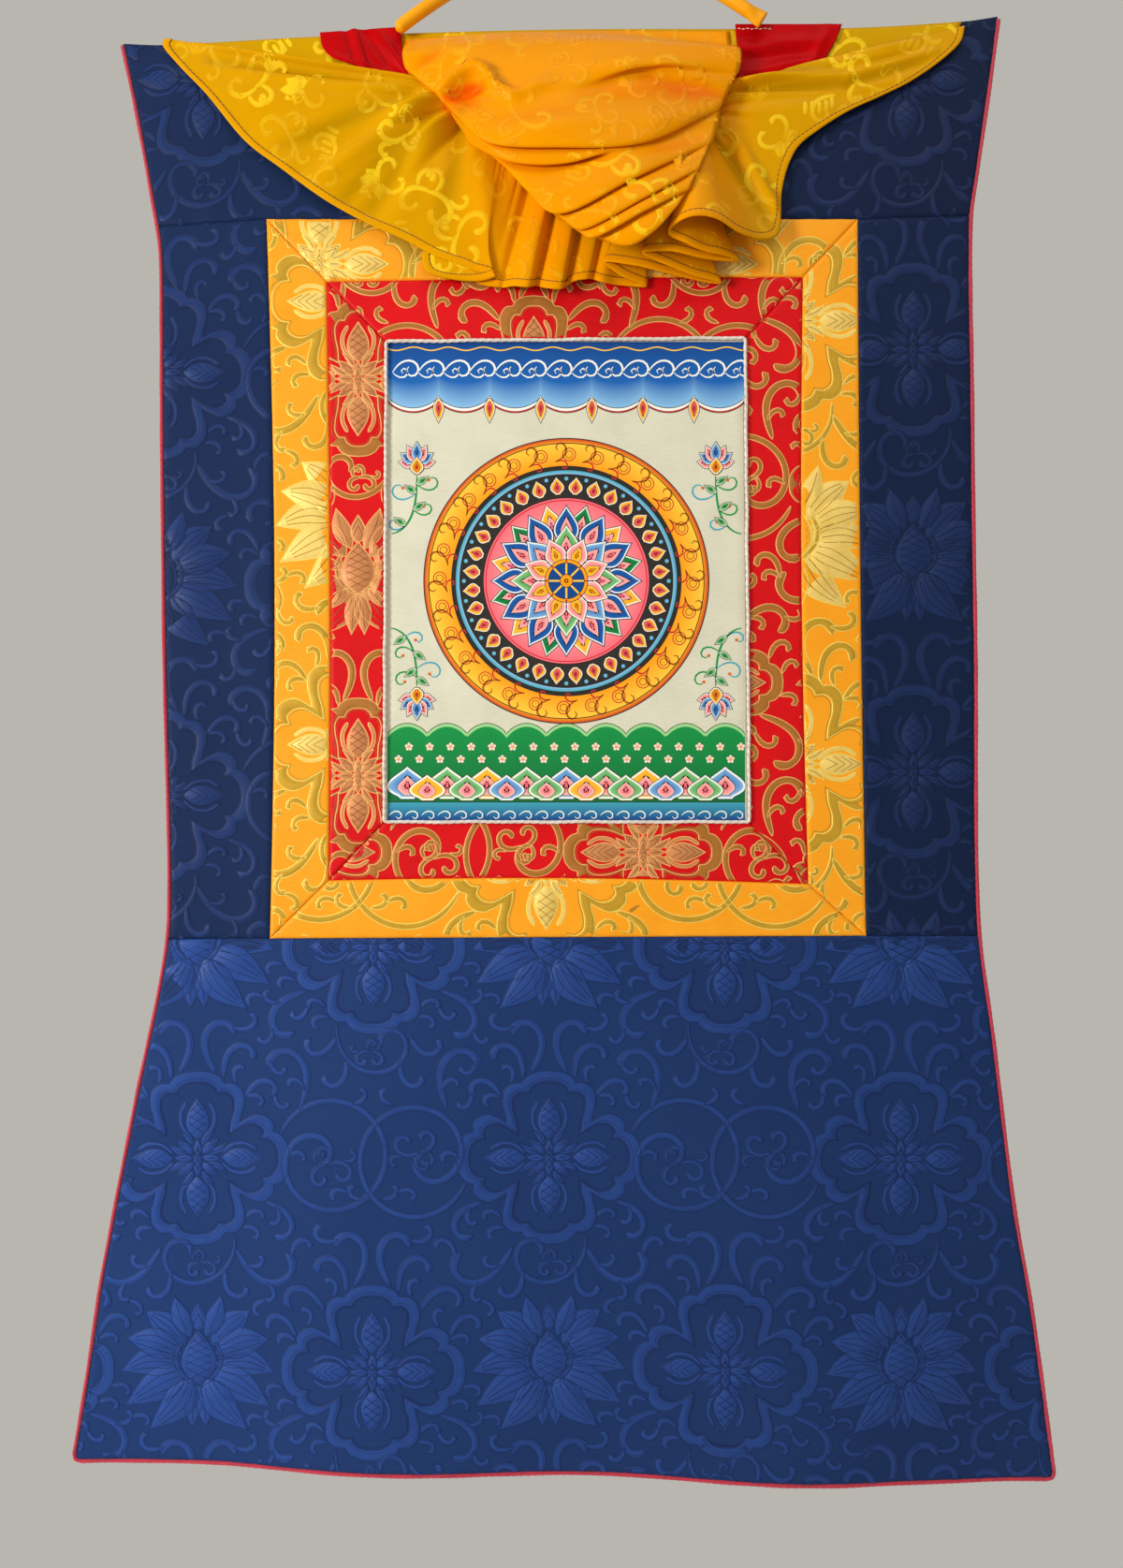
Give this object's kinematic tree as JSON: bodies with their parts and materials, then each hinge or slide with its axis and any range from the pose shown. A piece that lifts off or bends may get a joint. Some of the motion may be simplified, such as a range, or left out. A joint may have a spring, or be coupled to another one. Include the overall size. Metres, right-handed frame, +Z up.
{
  "type": "thangka scroll painting",
  "caption": "Hanging scroll of a painted canvas in mitred brocade frames on flared blue brocade panels, with a raised silk veil, ribbons and a hanging strap.",
  "frame": {"origin": "middle of the top edge, in the middle of the brocade's thickness", "axes": "+X to the viewer's right, +Y into the wall, +Z up; the painted front faces -Y"},
  "size_m": [0.7118, 0.0554, 1.1381],
  "materials": {
    "blue_brocade": "self-coloured damask weave, low sheen",
    "yellow_brocade": "satin ground with olive and pale gold figure",
    "red_brocade": "satin ground with copper and gold figure",
    "painted_canvas": "gessoed cotton with matt mineral colours",
    "edging_cord": "twisted off-white cord",
    "piping": "covered red cord",
    "veil_silk": "figured satin, bright sheen",
    "ribbon_satin": "red satin",
    "strap_cloth": "satin tube"
  },
  "bodies": {
    "root": {"panel_top": "blue_brocade", "panel_left": "blue_brocade", "panel_right": "blue_brocade", "panel_bottom": "blue_brocade", "frame_yellow_top": "yellow_brocade", "frame_yellow_right": "yellow_brocade", "frame_yellow_bottom": "yellow_brocade", "frame_yellow_left": "yellow_brocade", "frame_red_top": "red_brocade", "frame_red_right": "red_brocade", "frame_red_bottom": "red_brocade", "frame_red_left": "red_brocade", "canvas": "painted_canvas", "canvas_edging": "edging_cord", "piping": "piping", "hanging_strap": "strap_cloth", "ribbon_left": "ribbon_satin", "ribbon_right": "ribbon_satin", "veil": "veil_silk"}
  },
  "joints": []
}
